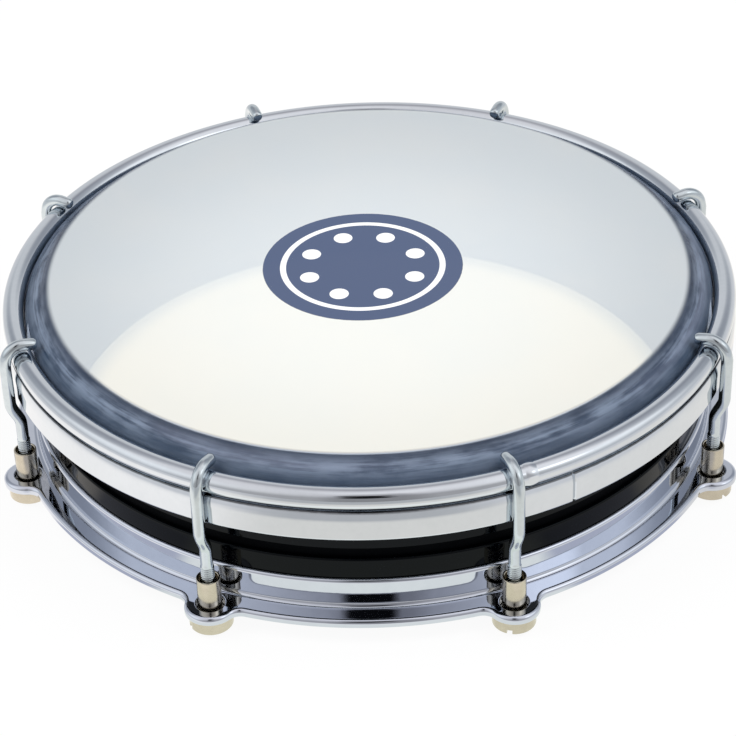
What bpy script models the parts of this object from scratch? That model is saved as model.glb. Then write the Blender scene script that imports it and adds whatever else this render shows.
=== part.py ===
"""Tamborim: a small frame drum with one head, a chromed rim and a lower ring joined by eight tension hooks.

Metres, +Z up. The origin is on the drum's axis, on the plane that the shell's lower edge stands on.
"""

from math import acos, asin, atan2, cos, hypot, pi, radians, sin, tau

import bmesh
import bpy
from mathutils import Matrix

MM = 0.001

# Clearance between pieces that touch on the real drum
GAP = 0.3 * MM

# Shell
SHELL_OUTER_R = 76.2 * MM
SHELL_WALL = 5.7 * MM
SHELL_HEIGHT = 40.25 * MM
SHELL_FOOT_CHAMFER = 0.6 * MM
STEP_HEIGHT = 17.6 * MM
STEP_ROUND = 0.5 * MM
WAIST_DEPTH = 1.0 * MM
CREST_INSET = 0.5 * MM
CREST_ROUND = 1.2 * MM
BEARING_SLOPE = radians(38)
SHOULDER_ROUND = 2.0 * MM

# Drumhead: film and the hoop that grips its hem
FILM_THICKNESS = 0.25 * MM
HEM_BEND = 0.6 * MM
HOOP_HEIGHT = 4.0 * MM
HEM_GRIP = 1.9 * MM

# Rim: a round bead with a band below it, and a crease where the two meet
BEAD_RADIUS = 2.38 * MM
RIM_DROP = 4.43 * MM
BAND_THICKNESS = 2.0 * MM
BAND_PROUD = 0.15 * MM
BAND_LENGTH = 8.92 * MM
BAND_SHOULDER_TOP = 1.97 * MM
BAND_SHOULDER_HEIGHT = 2.5 * MM
BAND_SHOULDER_DEPTH = 0.5 * MM
CREASE_DEPTH = 0.1 * MM

# Lower ring: an upright wall in a rebate of the shell, with a flange and ears
RING_SEAT_DEPTH = 1.0 * MM
RING_TOP = 12.7 * MM
RING_WALL = 1.5 * MM
FLANGE_BASE = 4.1 * MM
FLANGE_THICKNESS = 1.8 * MM
FLANGE_REACH = 4.8 * MM
FLANGE_CHAMFER = 0.8 * MM
RING_FILLET = 0.6 * MM
EAR_COUNT = 8
EAR_RADIUS = 5.5 * MM
EAR_BLEND = 2.8 * MM
EAR_SETBACK = 4.72 * MM

# Tube nut
NUT_RADIUS = 2.5 * MM
NUT_TOP = 12.7 * MM
NUT_HOLE_CLEARANCE = 0.6 * MM
NUT_HEAD_RADIUS = 4.6 * MM
NUT_HEAD_THICKNESS = 3.0 * MM
NUT_HEAD_CHAMFER = 0.35 * MM
COUNTERBORE_RADIUS = 2.05 * MM
COUNTERBORE_DEPTH = 2.5 * MM
SLOT_WIDTH = 1.2 * MM
SLOT_DEPTH = 1.1 * MM
FIRST_SLOT_ANGLE = radians(136.75)
SLOT_ANGLE_STEP = radians(50)

# Tension hook
ROD_RADIUS = 1.3 * MM
THREAD_RADIUS = 1.45 * MM
THREAD_VISIBLE = 3.0 * MM
SHANK_BASE = 2.6 * MM
JOGGLE_CLEARANCE = 1.3 * MM
JOGGLE_LENGTH = 5.8 * MM
CLAW_LEAN = radians(12)
CLAW_DROOP = radians(10)
CLAW_NOSE = 2.6 * MM

# Facets
RING_STEPS = 64
NUT_STEPS = 16
ROD_SIDES = 8

# Radii and heights that follow from the sizes above
SHELL_INNER_R = SHELL_OUTER_R - SHELL_WALL
CREST_R = SHELL_INNER_R + CREST_INSET
HEM_OUTER_R = SHELL_OUTER_R + GAP + FILM_THICKNESS
BEAD_CENTRE_R = HEM_OUTER_R + GAP + BEAD_RADIUS
BEAD_CENTRE_Z = SHELL_HEIGHT - RIM_DROP
BAND_OUTER_R = BEAD_CENTRE_R + BEAD_RADIUS + BAND_PROUD
BAND_INNER_R = BAND_OUTER_R - BAND_THICKNESS
BAND_BOTTOM = BEAD_CENTRE_Z - BAND_LENGTH
HOOP_INNER_R = HEM_OUTER_R + GAP
HOOP_OUTER_R = BAND_INNER_R - GAP
HOOP_TOP = BEAD_CENTRE_Z - BEAD_RADIUS - GAP
HOOP_BASE = HOOP_TOP - HOOP_HEIGHT
HEM_Z = HOOP_TOP - HOOP_HEIGHT / 2
HEM_END_R = HOOP_INNER_R + HEM_GRIP
WAIST_R = SHELL_OUTER_R - WAIST_DEPTH
RING_SEAT_R = SHELL_OUTER_R - RING_SEAT_DEPTH
RING_INNER_R = RING_SEAT_R + GAP
RING_OUTER_R = RING_INNER_R + RING_WALL
FLANGE_TOP = FLANGE_BASE + FLANGE_THICKNESS
FLANGE_OUTER_R = RING_OUTER_R + FLANGE_REACH
NUT_CIRCLE_R = RING_OUTER_R + EAR_SETBACK
NUT_HOLE_R = NUT_RADIUS + NUT_HOLE_CLEARANCE
NUT_HEAD_TOP = FLANGE_BASE - GAP
NUT_HEAD_BASE = NUT_HEAD_TOP - NUT_HEAD_THICKNESS
NUT_BORE_R = THREAD_RADIUS + GAP
LEG_R = BAND_OUTER_R + GAP + ROD_RADIUS
JOGGLE_TOP = BAND_BOTTOM - JOGGLE_CLEARANCE
JOGGLE_BASE = JOGGLE_TOP - JOGGLE_LENGTH
CLAW_BEND = BEAD_RADIUS + GAP + ROD_RADIUS
EAR_ANGLE_STEP = tau / EAR_COUNT


def clear_scene():
    """Remove every object of the open scene."""
    for item in list(bpy.data.objects):
        bpy.data.objects.remove(item, do_unlink=True)


def material(name, colour, roughness, metallic):
    """A plain Principled material."""
    made = bpy.data.materials.new(name)
    made.use_nodes = True
    shader = made.node_tree.nodes["Principled BSDF"]
    shader.inputs["Base Color"].default_value = (*colour, 1.0)
    shader.inputs["Roughness"].default_value = roughness
    shader.inputs["Metallic"].default_value = metallic
    return made


def add_object(name, mesh, finish, crease=radians(35)):
    """Link a named object that shows a mesh, shaded smooth across its shallow edges."""
    mesh.shade_smooth()
    mesh.set_sharp_from_angle(angle=crease)
    mesh.materials.clear()
    mesh.materials.append(finish)
    made = bpy.data.objects.new(name, mesh)
    bpy.context.scene.collection.objects.link(made)
    return made


def mesh_from(bm, name):
    """Turn a bmesh into a mesh with its faces pointing out."""
    bmesh.ops.recalc_face_normals(bm, faces=bm.faces)
    mesh = bpy.data.meshes.new(name)
    bm.to_mesh(mesh)
    bm.free()
    return mesh


def arc(centre, radius, start, end, count):
    """Points on an arc, both ends included, with the angle measured from the profile's radial axis."""
    points = []
    for i in range(count + 1):
        angle = start + (end - start) * i / count
        points.append((centre[0] + radius * cos(angle), centre[1] + radius * sin(angle)))
    return points


def turned(name, profile, steps):
    """Revolve a closed profile of (radius, height) points; points at radius 0 become poles."""
    bm = bmesh.new()
    loops = []
    for radius, height in profile:
        if radius < 1e-7:
            loops.append([bm.verts.new((0.0, 0.0, height))])
            continue
        ring = []
        for i in range(steps):
            angle = tau * i / steps
            ring.append(bm.verts.new((radius * cos(angle), radius * sin(angle), height)))
        loops.append(ring)
    for current, following in zip(loops, loops[1:] + loops[:1]):
        if len(current) == 1 and len(following) == 1:
            continue
        for i in range(steps):
            j = (i + 1) % steps
            if len(current) == 1:
                bm.faces.new((current[0], following[i], following[j]))
            elif len(following) == 1:
                bm.faces.new((current[i], following[0], current[j]))
            else:
                bm.faces.new((current[i], following[i], following[j], current[j]))
    return mesh_from(bm, name)


def bearing_path(offset, arc_steps):
    """The shell's upper surface from the crest to its outer side, moved outward by an offset."""
    slope = BEARING_SLOPE
    crest_centre = (CREST_R, SHELL_HEIGHT - CREST_ROUND)
    shoulder_r = SHELL_OUTER_R - SHOULDER_ROUND
    run = shoulder_r + SHOULDER_ROUND * sin(slope) - CREST_R - CREST_ROUND * sin(slope)
    drop = run * sin(slope) / cos(slope)
    shoulder_z = SHELL_HEIGHT - CREST_ROUND * (1 - cos(slope)) - drop - SHOULDER_ROUND * cos(slope)
    path = arc(crest_centre, CREST_ROUND + offset, pi / 2, pi / 2 - slope, arc_steps)
    path += arc((shoulder_r, shoulder_z), SHOULDER_ROUND + offset, pi / 2 - slope, 0.0, arc_steps)
    return path


def make_shell(finish):
    """Plastic tube with a rounded bearing edge, a shallow waist and a rebate that seats the lower ring."""
    profile = [(SHELL_INNER_R, SHELL_HEIGHT - CREST_INSET), (SHELL_INNER_R, 0.0)]
    profile += [(RING_SEAT_R - SHELL_FOOT_CHAMFER, 0.0), (RING_SEAT_R, SHELL_FOOT_CHAMFER)]
    profile += [(RING_SEAT_R, RING_TOP + GAP), (SHELL_OUTER_R, RING_TOP + GAP)]
    profile += arc((SHELL_OUTER_R - STEP_ROUND, STEP_HEIGHT - STEP_ROUND), STEP_ROUND, 0.0, pi / 2, 3)
    profile += [(WAIST_R, STEP_HEIGHT), (WAIST_R, HOOP_BASE), (SHELL_OUTER_R, HOOP_BASE + WAIST_DEPTH)]
    profile += reversed(bearing_path(0.0, 3))
    add_object("shell", turned("shell", profile, RING_STEPS), finish)


def make_film(finish):
    """Film stretched over the bearing edge, down past the shell and out into the hoop's channel."""
    inner = [(0.0, SHELL_HEIGHT + GAP)] + bearing_path(GAP, 3)
    outer = [(0.0, SHELL_HEIGHT + GAP + FILM_THICKNESS)] + bearing_path(GAP + FILM_THICKNESS, 3)
    bend_centre = (HEM_OUTER_R + HEM_BEND, HEM_Z + FILM_THICKNESS / 2 + HEM_BEND)
    outer += arc(bend_centre, HEM_BEND, pi, 1.5 * pi, 2)
    outer.append((HEM_END_R, HEM_Z + FILM_THICKNESS / 2))
    inner += arc(bend_centre, HEM_BEND + FILM_THICKNESS, pi, 1.5 * pi, 2)
    inner.append((HEM_END_R, HEM_Z - FILM_THICKNESS / 2))
    add_object("drumhead_film", turned("drumhead_film", outer + inner[::-1], RING_STEPS), finish)


def make_flesh_hoop(finish):
    """Metal hoop with a channel in its inner side that holds the film's hem."""
    half_slot = FILM_THICKNESS / 2 + GAP
    slot_end = HEM_END_R + GAP
    mouth = HEM_BEND + GAP
    profile = [
        (HOOP_INNER_R + mouth, HEM_Z + half_slot),
        (HOOP_INNER_R, HEM_Z + half_slot + mouth),
        (HOOP_INNER_R, HOOP_TOP),
        (HOOP_OUTER_R, HOOP_TOP),
        (HOOP_OUTER_R, HOOP_BASE),
        (HOOP_INNER_R, HOOP_BASE),
        (HOOP_INNER_R, HEM_Z - half_slot),
        (slot_end, HEM_Z - half_slot),
        (slot_end, HEM_Z + half_slot),
    ]
    add_object("flesh_hoop", turned("flesh_hoop", profile, RING_STEPS), finish)


def make_rim(finish):
    """Counterhoop: a bead whose outer side runs down into a band."""
    bead = (BEAD_CENTRE_R, BEAD_CENTRE_Z)
    shoulder_z = BEAD_CENTRE_Z - BAND_SHOULDER_TOP
    crease_angle = -asin((BAND_SHOULDER_TOP + CREASE_DEPTH) / BEAD_RADIUS)
    inner_angle = -acos((BAND_INNER_R - BEAD_CENTRE_R) / BEAD_RADIUS)
    profile = [(BAND_INNER_R, BAND_BOTTOM)]
    profile += arc(bead, BEAD_RADIUS, inner_angle, crease_angle - tau, 16)
    for i in range(4):
        down = i / 3
        across = BAND_OUTER_R - BAND_SHOULDER_DEPTH * (1 - down)**2
        profile.append((across, shoulder_z - BAND_SHOULDER_HEIGHT * down))
    profile.append((BAND_OUTER_R, BAND_BOTTOM))
    add_object("rim", turned("rim", profile[::-1], RING_STEPS), finish)


def flange_outline():
    """Plan outline of the flange: ears on the nut circle, blended into the round edge."""
    ear_centre = NUT_CIRCLE_R
    edge_r = FLANGE_OUTER_R
    blend_r = edge_r + EAR_BLEND
    reach = EAR_RADIUS + EAR_BLEND
    swing = acos((ear_centre**2 + blend_r**2 - reach**2) / (2 * ear_centre * blend_r))
    blend = (blend_r * cos(swing), blend_r * sin(swing))
    toward_ear = atan2(-blend[1], ear_centre - blend[0])
    toward_axis = swing + pi
    half = arc((ear_centre, 0.0), EAR_RADIUS, 0.0, toward_ear + pi, 5)
    sweep = (toward_axis - toward_ear + pi) % tau - pi
    half += arc(blend, EAR_BLEND, toward_ear, toward_ear + sweep, 3)[1:]
    rest = EAR_ANGLE_STEP / 2 - swing
    for i in range(1, 4):
        angle = swing + rest * i / 3
        half.append((edge_r * cos(angle), edge_r * sin(angle)))
    mirrored = [(x, -y) for x, y in half[1:-1]]
    sector = mirrored[::-1] + half
    outline = []
    for k in range(EAR_COUNT):
        turn = EAR_ANGLE_STEP * (k + 0.5)
        for x, y in sector:
            outline.append((x * cos(turn) - y * sin(turn), x * sin(turn) + y * cos(turn)))
    return outline


def add_loop(bm, points, height):
    """Add a closed loop of vertices at a height."""
    return [bm.verts.new((x, y, height)) for x, y in points]


def bridge(bm, lower, upper):
    """Join two loops of equal length with a band of quads."""
    for i in range(len(lower)):
        j = (i + 1) % len(lower)
        bm.faces.new((lower[i], lower[j], upper[j], upper[i]))


def fill_between(bm, outer, holes):
    """Fill a flat region that lies between an outer loop and the holes in it."""
    edges = []
    for loop in [outer] + holes:
        for i in range(len(loop)):
            pair = (loop[i], loop[(i + 1) % len(loop)])
            edge = bm.edges.get(pair)
            edges.append(edge if edge else bm.edges.new(pair))
    bmesh.ops.triangle_fill(bm, edges=edges, use_beauty=True)


def inset_outline(points, offset):
    """Move a closed outline inward along its corners' bisectors."""
    moved = []
    count = len(points)
    for i in range(count):
        before = points[i - 1]
        here = points[i]
        after = points[(i + 1) % count]
        first = hypot(here[0] - before[0], here[1] - before[1])
        second = hypot(after[0] - here[0], after[1] - here[1])
        normal_x = (here[1] - before[1]) / first + (after[1] - here[1]) / second
        normal_y = -(here[0] - before[0]) / first - (after[0] - here[0]) / second
        size = hypot(normal_x, normal_y)
        moved.append((here[0] - normal_x / size * offset, here[1] - normal_y / size * offset))
    return moved


def circle(radius, steps, centre=(0.0, 0.0)):
    """Points round a circle in plan."""
    return [
        (centre[0] + radius * cos(tau * i / steps), centre[1] + radius * sin(tau * i / steps))
        for i in range(steps)
    ]


def make_lower_ring(finish):
    """Ring with an upright wall, a filleted corner, a flange and drilled ears."""
    bm = bmesh.new()
    outline = flange_outline()
    outer_low = add_loop(bm, outline, FLANGE_BASE)
    outer_mid = add_loop(bm, outline, FLANGE_TOP - FLANGE_CHAMFER)
    outer_top = add_loop(bm, inset_outline(outline, FLANGE_CHAMFER), FLANGE_TOP)
    inner_low = add_loop(bm, circle(RING_INNER_R, RING_STEPS), FLANGE_BASE)
    inner_top = add_loop(bm, circle(RING_INNER_R, RING_STEPS), RING_TOP)
    wall_top = add_loop(bm, circle(RING_OUTER_R, RING_STEPS), RING_TOP)
    wall_base = add_loop(bm, circle(RING_OUTER_R, RING_STEPS), FLANGE_TOP + RING_FILLET)
    toe = add_loop(bm, circle(RING_OUTER_R + RING_FILLET, RING_STEPS), FLANGE_TOP)
    holes_low = []
    holes_top = []
    for k in range(EAR_COUNT):
        angle = EAR_ANGLE_STEP * (k + 0.5)
        centre = (NUT_CIRCLE_R * cos(angle), NUT_CIRCLE_R * sin(angle))
        edge = circle(NUT_HOLE_R / cos(pi / NUT_STEPS), NUT_STEPS, centre)
        holes_low.append(add_loop(bm, edge, FLANGE_BASE))
        holes_top.append(add_loop(bm, edge, FLANGE_TOP))
        bridge(bm, holes_low[-1], holes_top[-1])
    bridge(bm, outer_low, outer_mid)
    bridge(bm, outer_mid, outer_top)
    bridge(bm, inner_low, inner_top)
    bridge(bm, inner_top, wall_top)
    bridge(bm, wall_top, wall_base)
    bridge(bm, wall_base, toe)
    fill_between(bm, outer_low, [inner_low] + holes_low)
    fill_between(bm, outer_top, [toe] + holes_top)
    add_object("lower_ring", mesh_from(bm, "lower_ring"), finish)


def tube_nut_mesh():
    """Tube nut about its own axis: body, counterbore, thread bore and slotted head."""
    profile = [
        (COUNTERBORE_RADIUS, NUT_TOP),
        (NUT_RADIUS, NUT_TOP),
        (NUT_RADIUS, NUT_HEAD_TOP),
        (NUT_HEAD_RADIUS, NUT_HEAD_TOP),
        (NUT_HEAD_RADIUS, NUT_HEAD_BASE + NUT_HEAD_CHAMFER),
        (NUT_HEAD_RADIUS - NUT_HEAD_CHAMFER, NUT_HEAD_BASE),
        (NUT_BORE_R, NUT_HEAD_BASE),
        (NUT_BORE_R, NUT_TOP - COUNTERBORE_DEPTH),
        (COUNTERBORE_RADIUS, NUT_TOP - COUNTERBORE_DEPTH),
    ]
    blank = bpy.data.objects.new("nut_blank", turned("nut_blank", profile, NUT_STEPS))
    bm = bmesh.new()
    length = 4 * NUT_HEAD_RADIUS
    size = Matrix.Diagonal((length, SLOT_WIDTH, 2 * SLOT_DEPTH, 1.0))
    bmesh.ops.create_cube(bm, size=1.0, matrix=Matrix.Translation((0, 0, NUT_HEAD_BASE)) @ size)
    cutter = bpy.data.objects.new("slot_cutter", mesh_from(bm, "slot_cutter"))
    cutter.hide_render = True
    cutter.display_type = "WIRE"
    for item in (blank, cutter):
        bpy.context.scene.collection.objects.link(item)
    cut = blank.modifiers.new("slot", "BOOLEAN")
    cut.operation = "DIFFERENCE"
    cut.solver = "EXACT"
    cut.object = cutter
    evaluated = blank.evaluated_get(bpy.context.evaluated_depsgraph_get())
    mesh = bpy.data.meshes.new_from_object(evaluated)
    mesh.name = "tube_nut"
    bpy.data.objects.remove(blank, do_unlink=True)
    bpy.data.objects.remove(cutter, do_unlink=True)
    return mesh


def hook_path():
    """Centre line of a hook in its radial plane, from the shank's end to the claw's tip, with radii."""
    thread_top = NUT_TOP + THREAD_VISIBLE
    path = [(NUT_CIRCLE_R, SHANK_BASE, THREAD_RADIUS), (NUT_CIRCLE_R, thread_top, THREAD_RADIUS)]
    path.append((NUT_CIRCLE_R, thread_top + (THREAD_RADIUS - ROD_RADIUS) * 2, ROD_RADIUS))
    joggle_steps = 5
    for i in range(joggle_steps + 1):
        t = i / joggle_steps
        across = NUT_CIRCLE_R + (LEG_R - NUT_CIRCLE_R) * t * t * (3 - 2 * t)
        path.append((across, JOGGLE_BASE + JOGGLE_LENGTH * t, ROD_RADIUS))
    bend = arc((BEAD_CENTRE_R, BEAD_CENTRE_Z), CLAW_BEND, CLAW_LEAN, pi / 2 + CLAW_DROOP, 6)
    lean_height = (LEG_R - bend[0][0]) * cos(CLAW_LEAN) / sin(CLAW_LEAN)
    path.append((LEG_R, bend[0][1] - lean_height, ROD_RADIUS))
    for radius, height in bend:
        path.append((radius, height, ROD_RADIUS))
    last = path[-1]
    nose = (cos(CLAW_DROOP), sin(CLAW_DROOP))
    for step, share in ((0.65, 1.0), (0.9, 0.8), (1.0, 0.45)):
        along = CLAW_NOSE * step
        path.append((last[0] - nose[0] * along, last[1] - nose[1] * along, ROD_RADIUS * share))
    return path


def hook_mesh():
    """Round rod swept along the hook's centre line, in the plane of +X and +Z from the drum's axis."""
    bm = bmesh.new()
    path = hook_path()
    loops = []
    for i, (across, height, radius) in enumerate(path):
        before = path[max(i - 1, 0)]
        after = path[min(i + 1, len(path) - 1)]
        angle = atan2(after[1] - before[1], after[0] - before[0])
        side_x = sin(angle)
        side_z = -cos(angle)
        loop = []
        for k in range(ROD_SIDES):
            turn = tau * k / ROD_SIDES
            out = radius * cos(turn)
            loop.append(bm.verts.new((across + side_x * out, radius * sin(turn), height + side_z * out)))
        loops.append(loop)
    for lower, upper in zip(loops, loops[1:]):
        bridge(bm, lower, upper)
    bm.faces.new(loops[0])
    bm.faces.new(loops[-1])
    bmesh.ops.translate(bm, verts=bm.verts, vec=(-NUT_CIRCLE_R, 0.0, 0.0))
    return mesh_from(bm, "hook")


def make_tension_sets(hook_finish, nut_finish):
    """Eight hooks and tube nuts, each with its origin on its own upright axis."""
    hook = hook_mesh()
    nut = tube_nut_mesh()
    for k in range(EAR_COUNT):
        angle = EAR_ANGLE_STEP * (k + 0.5)
        place = (NUT_CIRCLE_R * cos(angle), NUT_CIRCLE_R * sin(angle), 0.0)
        made_hook = add_object("hook_%d" % (k + 1), hook, hook_finish)
        made_hook.location = place
        made_hook.rotation_euler = (0.0, 0.0, angle)
        made_nut = add_object("tube_nut_%d" % (k + 1), nut, nut_finish)
        made_nut.location = place
        made_nut.rotation_euler = (0.0, 0.0, FIRST_SLOT_ANGLE + SLOT_ANGLE_STEP * k)


def main():
    clear_scene()
    black_plastic = material("black_plastic", (0.012, 0.012, 0.014), 0.18, 0.0)
    milky_film = material("milky_film", (0.86, 0.89, 0.9), 0.3, 0.0)
    hoop_metal = material("hoop_metal", (0.62, 0.62, 0.63), 0.35, 1.0)
    rim_chrome = material("rim_chrome", (0.78, 0.79, 0.82), 0.08, 1.0)
    ring_chrome = material("ring_chrome", (0.76, 0.77, 0.81), 0.08, 1.0)
    hook_zinc = material("hook_zinc", (0.8, 0.82, 0.83), 0.16, 1.0)
    nut_nickel = material("nut_nickel", (0.72, 0.7, 0.64), 0.2, 1.0)
    make_shell(black_plastic)
    make_film(milky_film)
    make_flesh_hoop(hoop_metal)
    make_rim(rim_chrome)
    make_lower_ring(ring_chrome)
    make_tension_sets(hook_zinc, nut_nickel)


main()
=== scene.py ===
"""Looks of a small chromed tamborim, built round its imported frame.

Sizes are in millimetres and become metres where a mesh is made. +Z is up, the drum's axis is
x = y = 0, and the shell's lower edge stands on z = 0.
"""

from math import acos, asin, atan2, cos, hypot, pi, radians, sin, tau

import bmesh
import bpy
from mathutils import Matrix, Vector


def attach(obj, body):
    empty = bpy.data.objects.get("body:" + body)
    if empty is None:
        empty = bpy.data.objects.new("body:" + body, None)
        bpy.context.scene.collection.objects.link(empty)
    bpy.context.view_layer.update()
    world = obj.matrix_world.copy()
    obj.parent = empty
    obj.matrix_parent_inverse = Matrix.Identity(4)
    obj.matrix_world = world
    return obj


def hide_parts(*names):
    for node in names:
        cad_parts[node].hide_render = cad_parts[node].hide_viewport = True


MM = 0.001
SETS = 8
SET_STEP = tau / SETS

# Camera, from the photograph's perspective
CAMERA_PITCH = radians(34.61)
CAMERA_ROLL = radians(1.998)
CAMERA_TURN = radians(2.7467)
CAMERA_ASIDE = -0.01
CAMERA_ABOVE = 19.90
CAMERA_DISTANCE = 529.6
CAMERA_LENS = 115.386
CAMERA_SENSOR = 36.0
CAMERA_CLIP = (0.01, 50.0)
AIM_HEIGHT = 36.3

# Shell
SHELL_R = 76.2
SHELL_INNER_R = 70.5
SHELL_HEIGHT = 40.25
FOOT_EDGE = 0.25
FOOT_CHAMFER = 0.6
CREST_R = 71.0
CREST_ROUND = 1.2
SLOPE = radians(38)
SLOPE_STEPS = 8
SHOULDER_ROUND = 2.0
STEP_HEIGHT = 17.6
STEP_ROUND = 0.5
WAIST_DEPTH = 1.0
WAIST_TOP = 19.7
LEDGE_LIFT = 0.12
LEDGE_EDGE = 0.1
GAP = 0.3

# Film and rim
FILM = 0.25
FILM_LOOP_R = 35.0
HEM_BEND = 0.6
HEM_R = SHELL_R + GAP + FILM
BEAD_R = 2.38
BEAD_AT = (HEM_R + GAP + BEAD_R, 35.82)
BAND_R = BEAD_AT[0] + BEAD_R + 0.15
BAND_INNER_R = BAND_R - 2.0
BAND_MIDDLE_R = BAND_R - 1.0
BAND_BOTTOM = BEAD_AT[1] - 8.92
BAND_EDGE = 0.6
SHOULDER_TOP = BEAD_AT[1] - 1.97
SHOULDER_FALL = 2.5
SHOULDER_DEPTH = 0.5
SHOULDER_START = 0.16
CREASE_DEPTH = 0.1
CREASE_WIDTH = 0.2
CREASE_LIP = (0.12, 0.04)
HOOP_TOP = BEAD_AT[1] - BEAD_R - GAP
HOOP_BASE = HOOP_TOP - 4.0
HEM_Z = HOOP_TOP - 2.0
HEM_END_R = HEM_R + GAP + 1.9
BAND_SEAM = radians(-58.05)
SEAM_DEPTH = 0.6
SEAM_HALF_WIDTH = 0.42
BEAD_WELD = radians(-64.7)
WELD_SWELL = 0.16
WELD_REACH = 1.3

# Slight waves of the film below its crest: (waves round the drum, phase, share)
WAVES = ((31, 0.7, 1.0), (53, 2.1, 0.8), (83, 4.0, 0.6))
WAVE_HEIGHT = 0.022
WAVES_FROM = 0.8
WAVES_RISE = 2.5
WAVES_FALL = 0.8

# Film's printed disc, and how milky the film is
BADGE_AT = (-1.0, -1.2)
BADGE_R = 22.35
BADGE_DOTS_AT = 12.6
BADGE_DOT_R = 2.1
BADGE_RING_AT = 17.8
BADGE_RING_WIDTH = 1.3
BADGE_COVER = 0.995
INK_BLUR = 0.08
PLAYED_HAZE = 0.785
PLAYED_AT = (0.0, -12.0)
PLAYED_REACH = (22.0, 74.0)
FILM_HAZE = 0.70
COLLAR_HAZE = 0.62
FILM_GLOW = 0.3
COLLAR_GLOW = 0.15

# Lower ring
SEAT_R = SHELL_R - 1.0
RING_TOP = 12.7
RING_INNER_R = SEAT_R + GAP
RING_R = RING_INNER_R + 1.5
RING_LIP = 0.2
RING_TOP_ROUND = 0.8
RING_TOE = 1.1
FLANGE_BASE = 4.1
FLANGE_TOP = 5.9
FLANGE_R = RING_R + 4.8
FLANGE_LOW_EDGE = 0.25
FLANGE_TOP_EDGE = 1.0
FLANGE_HOLD = 0.15
EAR_R = 5.5
EAR_BLEND = 2.8
NUT_CIRCLE = RING_R + 4.72
NUT_HOLE_R = 3.1
NUT_HOLE_EDGE = 0.18

# Nut
NUT_R = 2.5
NUT_TOP = 12.7
NUT_EDGE = 0.15
HEAD_R = 4.6
HEAD_TOP = FLANGE_BASE - GAP
HEAD_BASE = HEAD_TOP - 3.0
HEAD_TOP_EDGE = 0.35
HEAD_LOW_EDGE = 0.3
COUNTERBORE_R = 2.05
COUNTERBORE_FLOOR = NUT_TOP - 2.5
COUNTERBORE_SLANT = 0.15
COUNTERBORE_EDGE = 0.12
SLOT_WIDTH = 1.2
SLOT_DEPTH = 1.1
FIRST_SLOT = radians(136.75)
SLOT_STEP = radians(50)

# Hook; its claw's nose as (share of its length, share of the rod's radius)
ROD_R = 1.3
ROD_START = 0.3
THREAD_R = 1.45
THREAD_DEPTH = 0.13
THREAD_PITCH = 0.5
THREAD_STEPS = 8
SHANK_BASE = 2.6
THREAD_TOP = NUT_TOP + 3.0
LEG_R = BAND_R + GAP + ROD_R
JOGGLE_TOP = BAND_BOTTOM - 1.3
JOGGLE_BASE = JOGGLE_TOP - 5.8
CLAW_BEND = BEAD_R + GAP + ROD_R - 0.02
CLAW_LEAN = radians(12)
CLAW_DROOP = radians(10)
CLAW_NOSE = 2.6
CLAW_SHAPE = ((0.3, 1.0), (0.6, 1.0), (0.75, 0.96), (0.87, 0.86), (0.95, 0.7), (0.988, 0.48),
              (1.0, 0.25))

# Fineness of the meshes
HOLD = 0.05
HELD_LENGTH = 0.6
ARC_STEPS = 8
ROUND_STEPS = 256
FILM_STEPS = 512
FALL_STEPS = 12
JOINT_STEPS = 12
HOLE_STEPS = 48
BEAD_STEPS = 56
EAR_STEPS = 16
CLAW_STEPS = 24
NUT_STEPS = 64
HOOK_SIDES = 32
JOGGLE_STEPS = 20

# Colours of the metals and the black plastic, each with its duller or dustier second colour
HOOP_STEEL = ((0.55, 0.56, 0.58), (0.42, 0.43, 0.45))
RIM_CHROME = ((0.65, 0.685, 0.725), (0.615, 0.65, 0.69))
RING_CHROME = ((0.60, 0.635, 0.71), (0.565, 0.60, 0.675))
HOOK_ZINC = ((0.60, 0.66, 0.69), (0.52, 0.57, 0.60))
NUT_NICKEL = ((0.59, 0.545, 0.445), (0.49, 0.445, 0.36))
PLASTIC_BLACK = ((0.0006, 0.0008, 0.0014), (0.012, 0.013, 0.016))
PLASTIC_SHEEN = (0.84, 0.94, 1.0, 1.0)
PLASTIC_IOR = 1.45
# Painted shade for the rim's crease
CREASE_SHADE = (0.03, 0.032, 0.036)

# Film: colours of its flat part, its collar (painted shade, darker and bluer than the flat part,
# darkest at its crest and hem), the ink and the light that comes through it, and the grain of
# the clouds in its collar
FILM_MILK = ((0.85, 0.93, 0.98), (0.88, 0.945, 0.98))
COLLAR_DARK = (0.06, 0.095, 0.165)
COLLAR_PALE = (0.40, 0.50, 0.66)
COLLAR_PATCH = (0.50, 0.56, 0.74)
COLLAR_HEM_SHADE = (0.055, 0.095, 0.16)
COLLAR_CREST_SHADE = (0.035, 0.055, 0.10)
INK_BLUE = (0.054, 0.083, 0.168)
INK_WHITE = (0.93, 0.93, 0.92)
MILK_LIGHT = (0.96, 0.985, 0.99)
INK_LIGHT = (0.02, 0.03, 0.05)
FLAT_TINGE = (1.0, 0.82, 0.48)
COLLAR_TINGE = (0.72, 0.82, 1.0)
COLLAR_GRAIN = 9.0
MOTTLE_GRAIN = (1.0, 1.0, 0.45)
STREAK_GRAIN = (0.45, 0.45, 1.6)
PATCH_GRAIN = (0.12, 0.12, 0.3)
UNDERSIDE = (0.8, 0.84, 0.86, 1.0)
UNDERSIDE_TINGE = (0.995, 0.99, 0.98, 1.0)
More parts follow.
